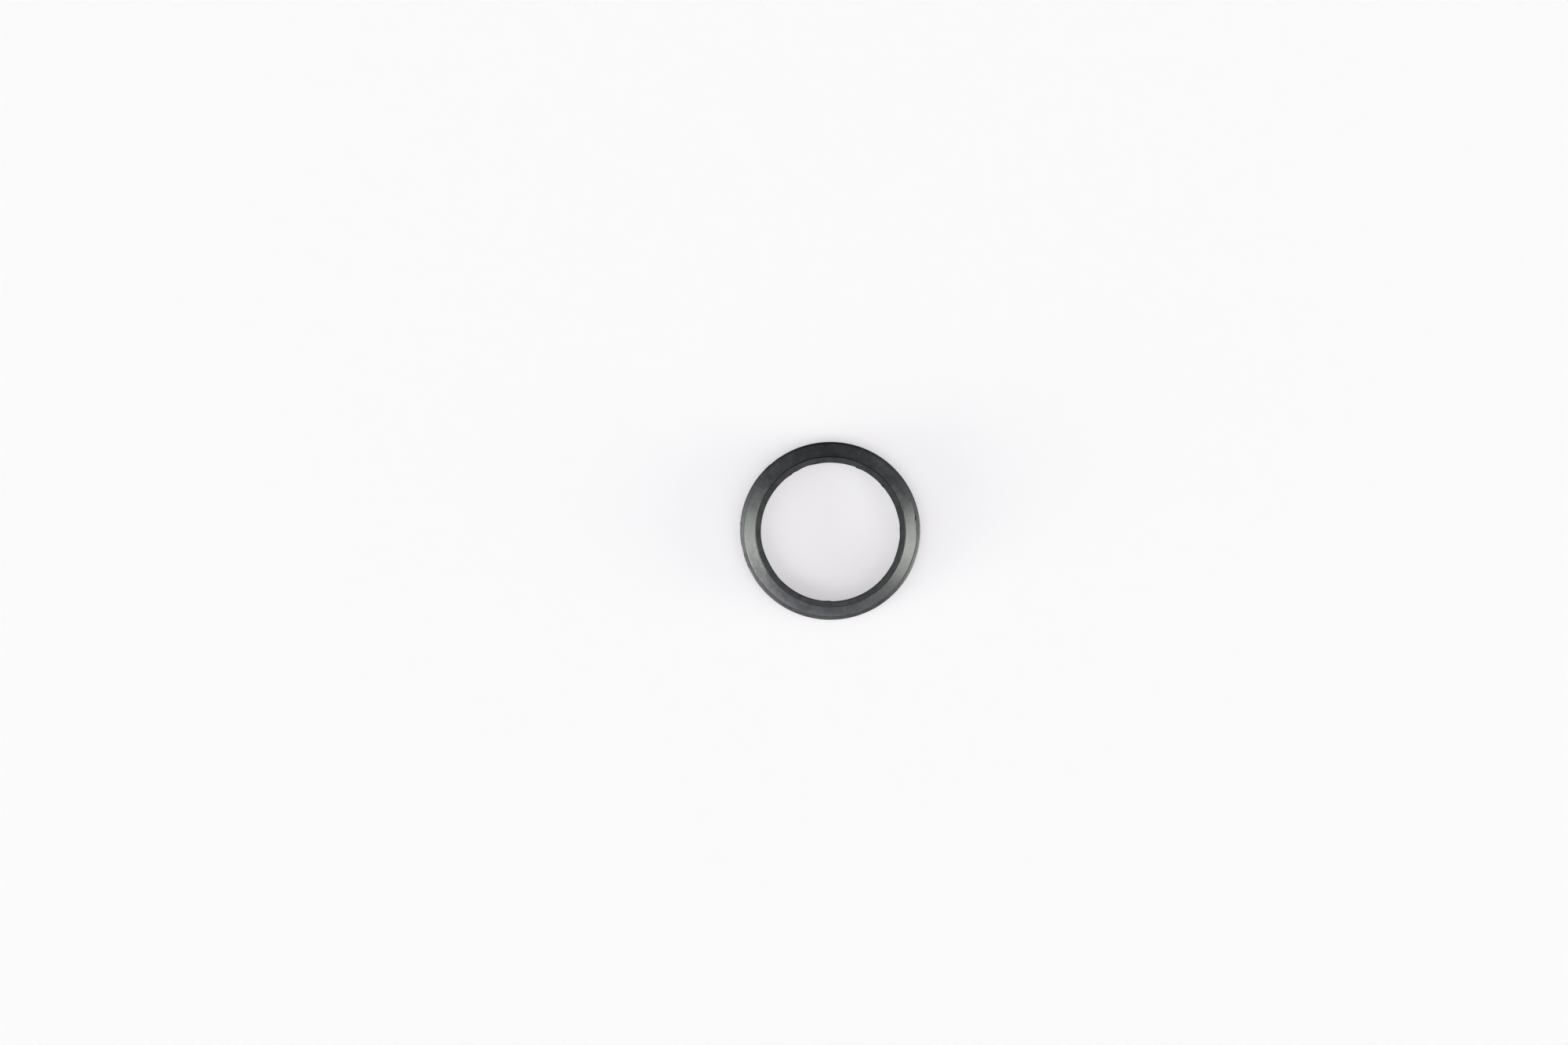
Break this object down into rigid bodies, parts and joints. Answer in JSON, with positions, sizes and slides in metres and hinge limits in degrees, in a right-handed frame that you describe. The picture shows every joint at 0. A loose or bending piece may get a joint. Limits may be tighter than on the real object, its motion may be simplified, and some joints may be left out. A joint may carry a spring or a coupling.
{
  "type": "intake manifold gasket",
  "caption": "Round moulded rubber port gasket with a flat inner collar, a broad cone falling outward and a thin creased lip.",
  "frame": {"origin": "centre of the flat base face, on the axis of the port", "axes": "+Z along the port's axis, from the base face towards the collar; the ring is round, so X and Y are any two perpendicular diameters"},
  "size_m": [0.045, 0.045, 0.0045],
  "materials": {
    "rubber": "satin black moulded rubber with faint mottling, fine radial streaks and hand-trimmed flash"
  },
  "bodies": {
    "root": {"gasket": "rubber"}
  },
  "joints": []
}
